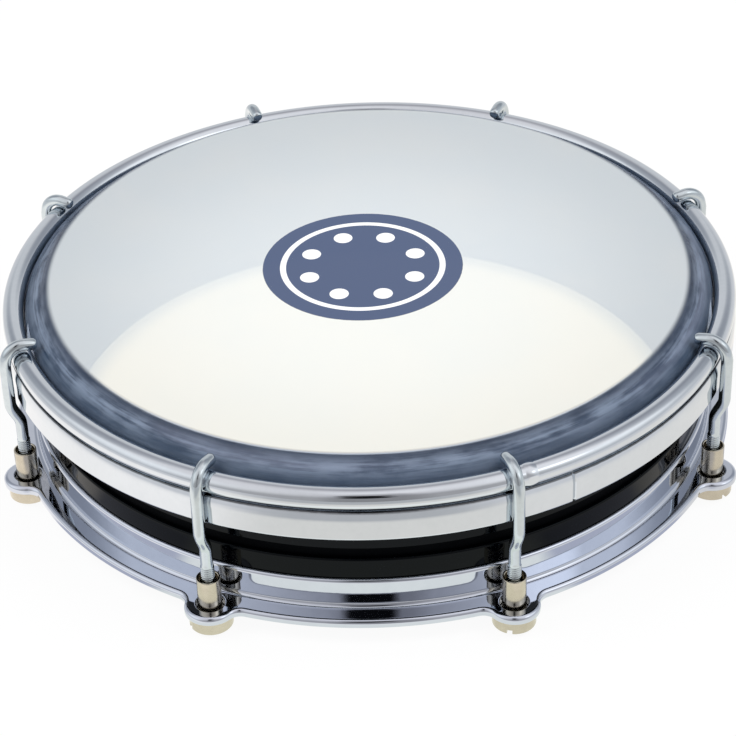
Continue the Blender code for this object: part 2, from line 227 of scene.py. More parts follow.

# Floor: painted light and shade that polish shows on it, and a painted shadow inside the shell:
# where each begins and ends, in metres from the drum's axis, in the cosine of the direction or in
# the sine of it, and their colours
FLOOR_R = 6.0
FLOOR_SINK = 0.00005
FLOOR_GLOW = 0.93
UNDER_DRUM_ENDS = (0.07, 0.078)
HOOK_SHADE_ENDS = (0.0925, 0.099)
POOL_BRIGHTENS = (0.0955, 0.0995)
POOL_FADES = (0.103, 0.115)
POOL_ENDS = (0.125, 0.17)
SIDES_FADE = (0.13, 0.26)
FRONT_BY_HOOKS = (0.80, 0.85)
FRONT_FAR_OUT = (0.79, 0.985)
BETWEEN_HOOKS = (-0.7, -0.1)
LEFT_TO_RIGHT = (-0.35, 0.35)
INSIDE_SHADE_RISES = (0.0645, 0.0707)
INSIDE_SHADE_FALLS = (0.0755, 0.0710)
FLOOR_WHITE = (1.0, 1.0, 1.0)
FLOOR_MATT = (0.9, 0.9, 0.9, 1.0)
LIGHT_UNDER_DRUM = (1.1, 1.08, 1.05)
POOL_EDGE = (1.07, 1.09, 1.01)
POOL_BRIGHT = (1.15, 1.14, 1.12)
POOL_MIDDLE = (0.94, 0.91, 0.85)
POOL_FAR = (0.56, 0.56, 0.57)
SIDE_LIGHT_LEFT = (1.28, 1.23, 1.18)
SIDE_LIGHT_RIGHT = (1.0, 0.97, 0.92)
SIDE_LIGHT_FAR = (0.80, 0.80, 0.82)
HOOK_SHADE = (0.58, 0.60, 0.70)
INSIDE_SHADE = (0.46, 0.50, 0.56)

# Room light: colours, where they begin and end, and lobes as (azimuth, elevation, outer angle,
# inner angle) in degrees
ROOM_SIDES = (0.70, 0.72, 0.75)
ROOM_BEHIND = (0.78, 0.79, 0.81)
BEHIND_RANGE = (-0.1, -0.8)
ROOM_NEAR = (0.50, 0.49, 0.50)
NEAR_RANGE = (0.35, 0.92)
ROOM_ABOVE = (0.49, 0.47, 0.50)
ABOVE_RANGE = (0.5, 0.92)
LEFT_LIGHT = (0.45, 0.45, 0.44)
LEFT_LOBE = (-80, 52, 52, 12)
RIGHT_LIGHT = (0.58, 0.58, 0.57)
RIGHT_LOBE = (80, 56, 48, 12)
GLOW_LIGHT = (0.5, 0.5, 0.5)
GLOW_LOBE = (59, 40, 12, 5)
STANDING = (0.10, 0.10, 0.11)
STANDING_SHARE = 0.4
STANDING_WIDTH = (19, 6)
STANDING_TOP = (84, 66)
CAMERA_BLACK = (0.006, 0.006, 0.007)
CAMERA_LOBES = ((-3, 40, 8.5, 5), (-4, 52, 7.5, 4))
CORNER_DARK = (0.12, 0.15, 0.21)
CORNER_SHARE = 0.6
CORNER_LOBES = ((-132, 38, 32, 6), (132, 38, 34, 6))
BACKDROP = (1.0, 1.0, 1.0)
LAMP_DISTANCE = 1.6
LAMP_SIZE = 0.9

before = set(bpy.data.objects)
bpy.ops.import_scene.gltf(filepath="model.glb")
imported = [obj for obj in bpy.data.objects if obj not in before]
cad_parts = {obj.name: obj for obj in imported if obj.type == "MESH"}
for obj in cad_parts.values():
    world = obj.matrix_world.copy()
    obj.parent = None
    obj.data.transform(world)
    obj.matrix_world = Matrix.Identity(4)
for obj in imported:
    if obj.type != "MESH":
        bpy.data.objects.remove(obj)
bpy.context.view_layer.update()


# Shader helpers


def shader_node(tree, kind, inputs=None, **settings):
    """Add a node, set its properties, and link or set its inputs."""
    made = tree.nodes.new(kind)
    for key, value in settings.items():
        setattr(made, key, value)
    for key, value in (inputs or {}).items():
        if isinstance(value, bpy.types.NodeSocket):
            tree.links.new(value, made.inputs[key])
        else:
            made.inputs[key].default_value = value
    return made


def calc(tree, operation, *values):
    """A Math node's result."""
    inputs = dict(enumerate(values))
    return shader_node(tree, "ShaderNodeMath", inputs, operation=operation).outputs[0]


def vector_calc(tree, operation, inputs):
    """A VectorMath node's vector."""
    made = shader_node(tree, "ShaderNodeVectorMath", inputs, operation=operation)
    return made.outputs["Vector"]


def length_of(tree, x, y):
    """Length of a vector in a plane."""
    squares = calc(tree, "MULTIPLY_ADD", x, x, calc(tree, "MULTIPLY", y, y))
    return calc(tree, "SQRT", squares)


def in_mm(tree, value, start=0.0):
    """A length in millimetres, counted from a start."""
    return calc(tree, "MULTIPLY_ADD", value, 1 / MM, -start)


def weighted(tree, first, share, second):
    """Mean of two values, the first with its share and the second with the rest."""
    return calc(tree, "MULTIPLY_ADD", first, share, calc(tree, "MULTIPLY", second, 1 - share))


def ramp(tree, value, low, high, start=0.0, end=1.0):
    """Map low..high smoothly onto start..end."""
    inputs = {"Value": value, "From Min": low, "From Max": high, "To Min": start, "To Max": end}
    made = shader_node(tree, "ShaderNodeMapRange", inputs, interpolation_type="SMOOTHSTEP")
    return made.outputs["Result"]


def opaque(colour):
    """Give a plain colour its alpha, and leave a socket as it is."""
    return (*colour, 1.0) if isinstance(colour, tuple) else colour


def blend(tree, share, first, second):
    """Mix two colours."""
    inputs = {0: share, 6: opaque(first), 7: opaque(second)}
    return shader_node(tree, "ShaderNodeMix", inputs, data_type="RGBA").outputs[2]


def blend_shaders(tree, share, first, second):
    """Mix two shaders."""
    inputs = {0: share, 1: first, 2: second}
    return shader_node(tree, "ShaderNodeMixShader", inputs).outputs[0]


def noise(tree, vector, scale, detail=3.0, roughness=0.5):
    """Noise between 0 and 1."""
    inputs = {"Vector": vector, "Scale": scale, "Detail": detail, "Roughness": roughness}
    return shader_node(tree, "ShaderNodeTexNoise", inputs).outputs[0]


def stretched(tree, vector, scale):
    """Scale a vector by different amounts along its axes."""
    return vector_calc(tree, "MULTIPLY", {0: vector, 1: scale})


def object_place(tree):
    """Position in the object's own metres."""
    return shader_node(tree, "ShaderNodeTexCoord").outputs["Object"]


def around_axis(tree, place):
    """A position's parts, its angle round the drum's axis in radians, and its distance from it."""
    parts = shader_node(tree, "ShaderNodeSeparateXYZ", {0: place}).outputs
    angle = calc(tree, "ARCTAN2", parts["Y"], parts["X"])
    return parts, angle, length_of(tree, parts["X"], parts["Y"])


def new_finish(name, **fixed):
    """A material with a Principled shader, its uniform values set on the shader's own sockets."""
    made = bpy.data.materials.new(name)
    made.use_nodes = True
    tree = made.node_tree
    shader = tree.nodes["Principled BSDF"]
    for key, value in fixed.items():
        shader.inputs[key.replace("_", " ")].default_value = value
    return made, tree, shader


def feed(tree, shader, **sockets):
    """Link results to a shader's inputs."""
    for key, value in sockets.items():
        tree.links.new(value, shader.inputs[key.replace("_", " ")])


def show(tree, shader):
    """Link a shader to the material's output."""
    tree.links.new(shader, tree.nodes["Material Output"].inputs["Surface"])


def bumped(tree, height, distance, strength, onto=None):
    """A bump normal, its distance in metres."""
    inputs = {"Height": height, "Distance": distance, "Strength": strength}
    if onto is not None:
        inputs["Normal"] = onto
    return shader_node(tree, "ShaderNodeBump", inputs).outputs["Normal"]


# Finishes


def plated(name, colours, gloss, grain=(1.0, 1.0, 1.0), crease=None):
    """Bright plating: faint haze and handling marks, fine scratches along the grain.

    A crease, as (radius, height), gets painted shade along it.
    """
    made, tree, shader = new_finish(name, Metallic=1.0)
    place = object_place(tree)
    haze = noise(tree, place, scale=90.0, detail=4.0, roughness=0.6)
    marks = noise(tree, place, scale=700.0, detail=3.0, roughness=0.55)
    lines = noise(tree, stretched(tree, place, grain), scale=1500.0, detail=2.0, roughness=0.6)
    shade = weighted(tree, marks, 0.35, haze)
    bright, dull = colours
    tint = blend(tree, ramp(tree, shade, 0.3, 0.7), dull, bright)
    # Painted shade darkens the crease, its edge ragged by the handling marks
    if crease is not None:
        parts, _, radius = around_axis(tree, place)
        out = in_mm(tree, radius, crease[0])
        rise = in_mm(tree, parts["Z"], crease[1])
        ragged = calc(tree, "MULTIPLY_ADD", marks, 0.2, length_of(tree, out, rise))
        tint = blend(tree, ramp(tree, ragged, 0.55, 0.3, 0.0, 0.85), tint, CREASE_SHADE)
    rough = ramp(tree, weighted(tree, lines, 0.4, haze), 0.35, 0.68, *gloss)
    soft = bumped(tree, haze, distance=0.00004, strength=0.35)
    scratched = bumped(tree, lines, distance=0.000002, strength=0.6, onto=soft)
    feed(tree, shader, Base_Color=tint, Roughness=rough, Normal=scratched)
    return made


def black_plastic(name, level, gloss, dust_share):
    """Moulded black plastic with fine orange peel, dust and handling marks."""
    made, tree, shader = new_finish(name, Metallic=0.0, IOR=PLASTIC_IOR, Specular_IOR_Level=level,
                                    Specular_Tint=PLASTIC_SHEEN)
    place = object_place(tree)
    dust = noise(tree, place, scale=2600.0, detail=2.0, roughness=0.7)
    cloud = noise(tree, place, scale=120.0, detail=3.0)
    clouded = calc(tree, "MULTIPLY_ADD", cloud, 0.35, dust)
    tint = blend(tree, ramp(tree, clouded, 0.83, 1.02, 0.0, dust_share), *PLASTIC_BLACK)
    peel = noise(tree, place, scale=260.0, detail=2.0)
    orange = bumped(tree, peel, distance=0.00005, strength=0.12)
    dusty = bumped(tree, dust, distance=0.000004, strength=0.3, onto=orange)
    feed(tree, shader, Base_Color=tint, Roughness=ramp(tree, cloud, 0.3, 0.7, *gloss),
         Normal=dusty)
    return made


def printed_disc(tree, parts, fine):
    """Shares of the whole disc, its dark ink and its white ink.

    The disc shows a drum's plan: a thin white ring and eight white dots on a dark-blue ground.
    """
    aside = in_mm(tree, parts["X"], BADGE_AT[0])
    ahead = in_mm(tree, parts["Y"], BADGE_AT[1])
    reach = length_of(tree, aside, ahead)
    ragged = calc(tree, "MULTIPLY_ADD", fine, 0.1, reach)
    disc = ramp(tree, ragged, BADGE_R + 0.1, BADGE_R - 0.05)
    around = calc(tree, "FLOORED_MODULO", calc(tree, "ARCTAN2", ahead, aside), SET_STEP)
    eighth = calc(tree, "SUBTRACT", around, SET_STEP / 2)
    along = calc(tree, "MULTIPLY", reach, calc(tree, "COSINE", eighth))
    across = calc(tree, "MULTIPLY", reach, calc(tree, "SINE", eighth))
    dot = length_of(tree, calc(tree, "SUBTRACT", along, BADGE_DOTS_AT), across)
    dots = ramp(tree, dot, BADGE_DOT_R + INK_BLUR, BADGE_DOT_R - INK_BLUR)
    line = calc(tree, "ABSOLUTE", calc(tree, "SUBTRACT", reach, BADGE_RING_AT))
    ring = ramp(tree, line, BADGE_RING_WIDTH / 2 + INK_BLUR, BADGE_RING_WIDTH / 2 - INK_BLUR)
    mark = calc(tree, "MAXIMUM", dots, ring)
    ink = calc(tree, "MULTIPLY", disc, calc(tree, "SUBTRACT", 1.0, mark))
    return disc, ink, calc(tree, "MULTIPLY", disc, mark)


def collar_look(tree, angle, r):
    """Colour of the film's collar in painted shade, darkest at crest and hem, clouded and streaked,
    and its streaks.
    """
    along_x = calc(tree, "MULTIPLY", calc(tree, "COSINE", angle), COLLAR_GRAIN)
    along_y = calc(tree, "MULTIPLY", calc(tree, "SINE", angle), COLLAR_GRAIN)
    inputs = {"X": along_x, "Y": along_y, "Z": r}
    place = shader_node(tree, "ShaderNodeCombineXYZ", inputs).outputs[0]
    mottle = noise(tree, stretched(tree, place, MOTTLE_GRAIN), 1.0, detail=3.0, roughness=0.55)
    streaks = noise(tree, stretched(tree, place, STREAK_GRAIN), 1.0, detail=4.0, roughness=0.6)
    patches = noise(tree, stretched(tree, place, PATCH_GRAIN), 1.0, detail=2.0, roughness=0.5)
    clouds = ramp(tree, weighted(tree, mottle, 0.5, streaks), 0.38, 0.60)
    slope = blend(tree, clouds, COLLAR_DARK, COLLAR_PALE)
    pale = blend(tree, ramp(tree, patches, 0.42, 0.68, 0.0, 0.45), slope, COLLAR_PATCH)
    # Painted shade: darker towards the hem under the rim, and darker at the crest
    outer = ramp(tree, r, CREST_R + 2.2, HEM_R - 0.6)
    lower = blend(tree, calc(tree, "MULTIPLY", outer, 0.8), pale, COLLAR_HEM_SHADE)
    crest = ramp(tree, r, CREST_R + 0.5, CREST_R + 3.2, 0.85, 0.0)
    return blend(tree, crest, lower, COLLAR_CREST_SHADE), streaks


def film_finish():
    """Hazy plastic film: milky where it is played, clearer in its collar, with a printed disc."""
    made, tree, shader = new_finish("hazy_film", Metallic=0.0, IOR=PLASTIC_IOR)
    place = object_place(tree)
    parts, angle, radius = around_axis(tree, place)
    r = in_mm(tree, radius)
    fog = noise(tree, place, scale=42.0, detail=3.0)
    fine = noise(tree, place, scale=1400.0, detail=2.0)
    crest = (CREST_R - 0.5, CREST_R + 0.9)
    collar = ramp(tree, r, *crest)
    disc, ink, white = printed_disc(tree, parts, fine)

    haze = blend(tree, ramp(tree, fog, 0.3, 0.7), *FILM_MILK)
    sloping, streaks = collar_look(tree, angle, r)
    inked = blend(tree, ink, blend(tree, collar, haze, sloping), INK_BLUE)
    even = bumped(tree, fine, distance=0.000003, strength=0.25)
    ripple = calc(tree, "MULTIPLY", streaks, collar)
    feed(tree, shader, Base_Color=blend(tree, white, inked, INK_WHITE),
         Roughness=ramp(tree, fog, 0.3, 0.7, 0.12, 0.2),
         Normal=bumped(tree, ripple, distance=0.0003, strength=0.6, onto=even))

    # Light that comes through: scattered by the milky part, straight through the clear part
    printed = calc(tree, "MAXIMUM", ink, white)
    milk = shader_node(tree, "ShaderNodeBsdfTranslucent",
                       {"Color": blend(tree, printed, MILK_LIGHT, INK_LIGHT)})
    glow = calc(tree, "MULTIPLY", ramp(tree, r, *crest, FILM_GLOW, COLLAR_GLOW),
                calc(tree, "SUBTRACT", 1.0, printed))
    milky = blend_shaders(tree, glow, shader.outputs[0], milk.outputs[0])
    tinge = blend(tree, ramp(tree, r, CREST_R - 0.2, CREST_R + 0.6), FLAT_TINGE, COLLAR_TINGE)
    clear = shader_node(tree, "ShaderNodeBsdfTransparent", {"Color": tinge})

    played_x = in_mm(tree, parts["X"], PLAYED_AT[0])
    played_y = in_mm(tree, parts["Y"], PLAYED_AT[1])
    played = ramp(tree, length_of(tree, played_x, played_y), *PLAYED_REACH, PLAYED_HAZE, FILM_HAZE)
    step = calc(tree, "SUBTRACT", COLLAR_HAZE, played)
    cover = calc(tree, "MULTIPLY_ADD", collar, step, played)
    covered = calc(tree, "MAXIMUM", cover, calc(tree, "MULTIPLY", disc, BADGE_COVER))
    show(tree, blend_shaders(tree, covered, clear.outputs[0], milky))
    return made


def film_underside():
    """The film's unprinted lower side: clear, with a weak gloss and handling marks."""
    made, tree, shader = new_finish("film_underside", Metallic=0.0, IOR=PLASTIC_IOR,
                                    Base_Color=UNDERSIDE)
    place = stretched(tree, object_place(tree), (1.0, 0.3, 1.0))
    marks = noise(tree, place, scale=300.0, detail=4.0, roughness=0.6)
    feed(tree, shader, Roughness=ramp(tree, marks, 0.3, 0.7, 0.1, 0.25),
         Normal=bumped(tree, marks, distance=0.00002, strength=0.3))
    clear = shader_node(tree, "ShaderNodeBsdfTransparent", {"Color": UNDERSIDE_TINGE})
    cover = ramp(tree, marks, 0.35, 0.75, 0.02, 0.07)
    show(tree, blend_shaders(tree, cover, clear.outputs[0], shader.outputs[0]))
    return made


gloss_black = black_plastic("black_gloss_plastic", 0.14, (0.035, 0.07), 1.0)
matt_black = black_plastic("black_matt_plastic", 0.03, (0.5, 0.66), 0.5)
film = film_finish()
underside = film_underside()
hoop_finish = plated("hoop_steel", HOOP_STEEL, (0.25, 0.4))
rim_finish = plated("rim_chrome_plate", RIM_CHROME, (0.02, 0.05), (0.2, 0.2, 1.0),
                    crease=(BAND_R - SHOULDER_DEPTH - 0.15, SHOULDER_TOP))
ring_finish = plated("ring_chrome_plate", RING_CHROME, (0.02, 0.05), (0.2, 0.2, 1.0))
hook_finish = plated("hook_zinc_plate", HOOK_ZINC, (0.07, 0.16), (1.0, 1.0, 0.15))
nut_finish = plated("nut_nickel_plate", NUT_NICKEL, (0.15, 0.26), (1.0, 1.0, 4.0))


# Mesh helpers


def polar(radius, angle):
    """A point from its distance and its angle."""
    return radius * cos(angle), radius * sin(angle)


def swung(x, y, angle):
    """A point turned about the origin."""
    return x * cos(angle) - y * sin(angle), x * sin(angle) + y * cos(angle)


def arc(centre, radius, start, end, count):
    """Points on an arc, both ends included."""
    points = []
    for i in range(count + 1):
        x, y = polar(radius, start + (end - start) * i / count)
        points.append((centre[0] + x, centre[1] + y))
    return points


def even_angles(steps):
    """Angles round a full turn."""
    return [tau * i / steps for i in range(steps)]


def quarter(steps):
    """Angles over a quarter turn, both ends included."""
    return [pi / 2 * i / steps for i in range(steps + 1)]


def linked(name, data):
    """An object in the scene."""
    made = bpy.data.objects.new(name, data)
    bpy.context.scene.collection.objects.link(made)
    return made


def meshed(name, bm):
    """An object in the scene from a bmesh, which is freed."""
    mesh = bpy.data.meshes.new(name)
    bm.to_mesh(mesh)
    bm.free()
    return linked(name, mesh)


def piece(name, bm, finish, body, node, crease=30):
    """Finish a bmesh in millimetres as a smooth piece that stands for a node of the frame."""
    bmesh.ops.recalc_face_normals(bm, faces=bm.faces)
    bmesh.ops.scale(bm, vec=(MM, MM, MM), verts=bm.verts)
    made = meshed(name, bm)
    made.data.shade_smooth()
    made.data.set_sharp_from_angle(angle=radians(crease))
    made.data.materials.append(finish)
    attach(made, body)
    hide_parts(node)
    return made


def held(points):
    """Add a point near both ends of each long segment, so that smooth shading keeps it straight."""
    kept = []
    for here, there in zip(points, points[1:] + points[:1]):
        kept.append(here)
        x, y = there[0] - here[0], there[1] - here[1]
        length = hypot(x, y)
        if length > HELD_LENGTH:
            for share in (HOLD / length, 1 - HOLD / length):
                kept.append((here[0] + x * share, here[1] + y * share))
    return kept


def turned(profile, angles, detail=None):
    """Revolve a closed profile of (radius, height) points.

    A detail function may move a point by its radius, height and angle.
    """
    profile = held(list(profile))
    bm = bmesh.new()
    loops = []
    for radius, height in profile:
        if radius < 1e-6:
            loops.append([bm.verts.new((0.0, 0.0, height))])
            continue
        loop = []
        for angle in angles:
            r, z = detail(radius, height, angle) if detail else (radius, height)
            loop.append(bm.verts.new((*polar(r, angle), z)))
        loops.append(loop)
    count = len(angles)
    for low, high in zip(loops, loops[1:] + loops[:1]):
        if len(low) == 1 and len(high) == 1:
            continue
        for i in range(count):
            j = (i + 1) % count
            if len(low) == 1:
                bm.faces.new((low[0], high[i], high[j]))
            elif len(high) == 1:
                bm.faces.new((low[i], high[0], low[j]))
            else:
                bm.faces.new((low[i], high[i], high[j], low[j]))
    return bm


def bridge(bm, low, high):
    """Join two loops of equal length."""
    count = len(low)
    for i in range(count):
        j = (i + 1) % count
        bm.faces.new((low[i], low[j], high[j], high[i]))


# Shell and film


def bearing_path(offset):
    """The shell's upper surface from crest to outer side, moved outward."""
    shoulder_r = SHELL_R - SHOULDER_ROUND
    run = shoulder_r + SHOULDER_ROUND * sin(SLOPE) - CREST_R - CREST_ROUND * sin(SLOPE)
    drop = run * sin(SLOPE) / cos(SLOPE)
    crest_z = SHELL_HEIGHT - CREST_ROUND
    shoulder_z = SHELL_HEIGHT - CREST_ROUND * (1 - cos(SLOPE)) - drop - SHOULDER_ROUND * cos(SLOPE)
    leaves = pi / 2 - SLOPE
    path = arc((CREST_R, crest_z), CREST_ROUND + offset, pi / 2, leaves, ARC_STEPS)
    end = arc((shoulder_r, shoulder_z), SHOULDER_ROUND + offset, leaves, 0.0, ARC_STEPS)
    first, last = path[-1], end[0]
    for i in range(1, SLOPE_STEPS):
        share = i / SLOPE_STEPS
        path.append((first[0] * (1 - share) + last[0] * share,
                     first[1] * (1 - share) + last[1] * share))
    return path + end


def make_shell():
    """Shell, glossy outside, matt inside and in the waist just above its step."""
    waist_r = SHELL_R - WAIST_DEPTH
    ledge_z = RING_TOP + LEDGE_LIFT
    profile = [(SHELL_INNER_R, SHELL_HEIGHT - CREST_R + SHELL_INNER_R), (SHELL_INNER_R, FOOT_EDGE)]
    profile += [(SHELL_INNER_R + FOOT_EDGE, 0.0), (SEAT_R - FOOT_CHAMFER, 0.0)]
    profile += [(SEAT_R, FOOT_CHAMFER), (SEAT_R, ledge_z)]
    profile += [(SHELL_R - LEDGE_EDGE, ledge_z), (SHELL_R, ledge_z + LEDGE_EDGE)]
    step = (SHELL_R - STEP_ROUND, STEP_HEIGHT - STEP_ROUND)
    profile += arc(step, STEP_ROUND, 0.0, pi / 2, ARC_STEPS)
    profile += [(waist_r, STEP_HEIGHT), (waist_r, WAIST_TOP), (waist_r, HOOP_BASE)]
    profile += [(SHELL_R, HOOP_BASE + WAIST_DEPTH)]
    profile += reversed(bearing_path(0.0))
    bm = turned(profile, even_angles(ROUND_STEPS))
    made = piece("shell_moulded", bm, gloss_black, "drum", "shell")
    made.data.materials.append(matt_black)
    for face in made.data.polygons:
        outside = face.center.to_2d().length > (waist_r - 0.1) * MM
        stepped = (STEP_HEIGHT - 0.01) * MM < face.center.z < WAIST_TOP * MM
        if stepped or not outside:
            face.material_index = 1


def make_film():
    """Film with a flat part, a sloping collar and a hem that the flesh hoop grips."""
    def ripple(radius, height, angle):
        """Slight waves where the film was pulled down over the edge."""
        rise = min(max((radius - CREST_R - WAVES_FROM) / WAVES_RISE, 0.0), 1.0)
        fall = min(max((HEM_R - radius) / WAVES_FALL, 0.0), 1.0)
        wave = sum(share * sin(count * angle + phase) for count, phase, share in WAVES)
        return radius, height + WAVE_HEIGHT * wave * rise * fall

    low = SHELL_HEIGHT + GAP
    top = low + FILM
    inner = [(0.0, low), (FILM_LOOP_R, low)] + bearing_path(GAP)
    outer = [(0.0, top), (FILM_LOOP_R, top)] + bearing_path(GAP + FILM)
    centre = (HEM_R + HEM_BEND, HEM_Z + FILM / 2 + HEM_BEND)
    outer += arc(centre, HEM_BEND, pi, 1.5 * pi, 4)
    outer.append((HEM_END_R, HEM_Z + FILM / 2))
    inner += arc(centre, HEM_BEND + FILM, pi, 1.5 * pi, 4)
    inner.append((HEM_END_R, HEM_Z - FILM / 2))
    bm = turned(outer + inner[::-1], even_angles(FILM_STEPS), ripple)
    made = piece("head_film", bm, film, "drum", "drumhead_film", crease=50)
    made.data.materials.append(underside)
    for face in made.data.polygons:
        if face.normal.dot(face.center) < 0:
            face.material_index = 1


# Rim


def make_rim():
    """Round bead with a band below it, a seam in the band and a weld across the bead."""
    crease_z = SHOULDER_TOP - CREASE_DEPTH
    crease_angle = asin((crease_z - BEAD_AT[1]) / BEAD_R)
    inner_angle = -acos((BAND_INNER_R - BEAD_AT[0]) / BEAD_R)
    foot = BAND_BOTTOM + BAND_EDGE
    profile = arc((BAND_INNER_R + BAND_EDGE, foot), BAND_EDGE, 1.5 * pi, pi, 3)
    profile += arc(BEAD_AT, BEAD_R, inner_angle, crease_angle - tau, BEAD_STEPS)
    corner = BAND_R - SHOULDER_DEPTH
    profile += [(corner - CREASE_WIDTH, crease_z)]
    profile += [(corner - CREASE_LIP[0], SHOULDER_TOP - CREASE_LIP[1])]
    profile += [(corner, SHOULDER_TOP - SHOULDER_START)]
    for i in range(1, FALL_STEPS + 1):
        down = i / FALL_STEPS
        profile.append((BAND_R - SHOULDER_DEPTH * (1 - down)**2,
                        SHOULDER_TOP - SHOULDER_START - SHOULDER_FALL * down))
    profile += arc((BAND_R - BAND_EDGE, foot), BAND_EDGE, 0.0, -pi / 2, 6)

    def along(angle, centre):
        """Length along the band from a place on it."""
        return atan2(sin(angle - centre), cos(angle - centre)) * BAND_R

    def joints(radius, height, angle):
        """Closed butt joint in the band and a filed weld across the bead."""
        if height < SHOULDER_TOP and radius > BAND_MIDDLE_R:
            away = abs(along(angle, BAND_SEAM))
            radius -= SEAM_DEPTH * max(0.0, 1 - away / SEAM_HALF_WIDTH)
        if height > SHOULDER_TOP + 0.3 and radius < BEAD_AT[0] + BEAD_R - 0.1:
            away = along(angle, BEAD_WELD)
            swell = WELD_SWELL * max(0.0, 1 - (away / WELD_REACH)**2)
            out = Vector((radius - BEAD_AT[0], height - BEAD_AT[1])).normalized()
            return radius + out.x * swell, height + out.y * swell
        return radius, height

    angles = set(even_angles(ROUND_STEPS))
    for centre, width in ((BAND_SEAM, 1.0), (BEAD_WELD, 1.6)):
        for i in range(-JOINT_STEPS, JOINT_STEPS + 1):
            angles.add((centre + width * i / JOINT_STEPS / BAND_R) % tau)
    bm = turned(profile, sorted(angles), joints)
    piece("rim_plated", bm, rim_finish, "drum", "rim", crease=40)


# Lower ring


def flange_outline():
    """Plan outline of the flange: ears on the nut circle, blended into the round edge."""
    blend_r = FLANGE_R + EAR_BLEND
    reach = EAR_R + EAR_BLEND
    swing = acos((NUT_CIRCLE**2 + blend_r**2 - reach**2) / (2 * NUT_CIRCLE * blend_r))
    centre = polar(blend_r, swing)
    toward_ear = atan2(-centre[1], NUT_CIRCLE - centre[0])
    half = arc((NUT_CIRCLE, 0.0), EAR_R, 0.0, toward_ear + pi, EAR_STEPS)
    sweep = (swing + pi - toward_ear + pi) % tau - pi
    half += arc(centre, EAR_BLEND, toward_ear, toward_ear + sweep, 8)[1:]
    half += arc((0.0, 0.0), FLANGE_R, swing, SET_STEP / 2, 12)[1:]
    sector = [(x, -y) for x, y in half[1:-1]][::-1] + half
    outline = []
    for k in range(SETS):
        outline += [swung(x, y, SET_STEP * (k + 0.5)) for x, y in sector]
    return outline


def inset(points, offset):
    """Move a closed outline inward along its corners' bisectors."""
    moved = []
    for i, here in enumerate(points):
        before = points[i - 1]
        after = points[(i + 1) % len(points)]
        first = hypot(here[0] - before[0], here[1] - before[1])
        second = hypot(after[0] - here[0], after[1] - here[1])
        x = (here[1] - before[1]) / first + (after[1] - here[1]) / second
        y = -(here[0] - before[0]) / first - (after[0] - here[0]) / second
        size = hypot(x, y)
        moved.append((here[0] - x / size * offset, here[1] - y / size * offset))
    return moved


def make_lower_ring():
    """Upright wall with a flange whose eight ears are drilled for the nuts."""
    bm = bmesh.new()
    outline = flange_outline()

    def circle(radius, steps, centre=(0.0, 0.0)):
        """Points of a circle."""
        return arc(centre, radius, 0.0, tau, steps)[:-1]

    def stack(levels):
        """Join loops given as (points, height) and return the first and the last."""
        loops = [[bm.verts.new((*point, height)) for point in points] for points, height in levels]
        for low, high in zip(loops, loops[1:]):
            bridge(bm, low, high)
        return loops[0], loops[-1]

    def fill(loops):
        """Fill the plane face between loops."""
        edges = []
        for ring in loops:
            for i in range(len(ring)):
                pair = (ring[i], ring[(i + 1) % len(ring)])
                edges.append(bm.edges.get(pair) or bm.edges.new(pair))
        bmesh.ops.triangle_fill(bm, edges=edges, use_beauty=True)

    levels = [(inset(outline, FLANGE_LOW_EDGE + FLANGE_HOLD), FLANGE_BASE)]
    for t in quarter(3):
        levels.append((inset(outline, FLANGE_LOW_EDGE * (1 - sin(t))),
                       FLANGE_BASE + FLANGE_LOW_EDGE * (1 - cos(t))))
    for t in quarter(10):
        levels.append((inset(outline, FLANGE_TOP_EDGE * (1 - cos(t))),
                       FLANGE_TOP - FLANGE_TOP_EDGE * (1 - sin(t))))
    levels.append((inset(outline, FLANGE_TOP_EDGE + FLANGE_HOLD), FLANGE_TOP))
    outer_low, outer_top = stack(levels)

    lip = RING_TOP - RING_LIP
    wall = [(RING_INNER_R, FLANGE_BASE), (RING_INNER_R, lip)]
    wall += arc((RING_INNER_R + RING_LIP, lip), RING_LIP, pi, pi / 2, 3)[1:]
    shoulder = (RING_R - RING_TOP_ROUND, RING_TOP - RING_TOP_ROUND)
    wall += arc(shoulder, RING_TOP_ROUND, pi / 2, 0.0, 8)
    wall += arc((RING_R + RING_TOE, FLANGE_TOP + RING_TOE), RING_TOE, pi, 1.5 * pi, 10)
    wall.append((RING_R + RING_TOE + HOLD, FLANGE_TOP))
    inner_low, toe = stack([(circle(radius, ROUND_STEPS), z) for radius, z in held(wall)[:-2]])

    holes_low = []
    holes_top = []
    edge_z = FLANGE_TOP - NUT_HOLE_EDGE
    for k in range(SETS):
        centre = polar(NUT_CIRCLE, SET_STEP * (k + 0.5))
        levels = [(NUT_HOLE_R, FLANGE_BASE), (NUT_HOLE_R, edge_z)]
        levels += arc((NUT_HOLE_R + NUT_HOLE_EDGE, edge_z), NUT_HOLE_EDGE, pi, pi / 2, 4)[1:]
        levels.append((NUT_HOLE_R + NUT_HOLE_EDGE + HOLD, FLANGE_TOP))
        low, top = stack([(circle(radius, HOLE_STEPS, centre), z) for radius, z in levels])
        holes_low.append(low)
        holes_top.append(top)
    fill([outer_low, inner_low] + holes_low)
    fill([outer_top, toe] + holes_top)
    piece("ring_plated", bm, ring_finish, "drum", "lower_ring", crease=45)


# Tension hooks and tube nuts


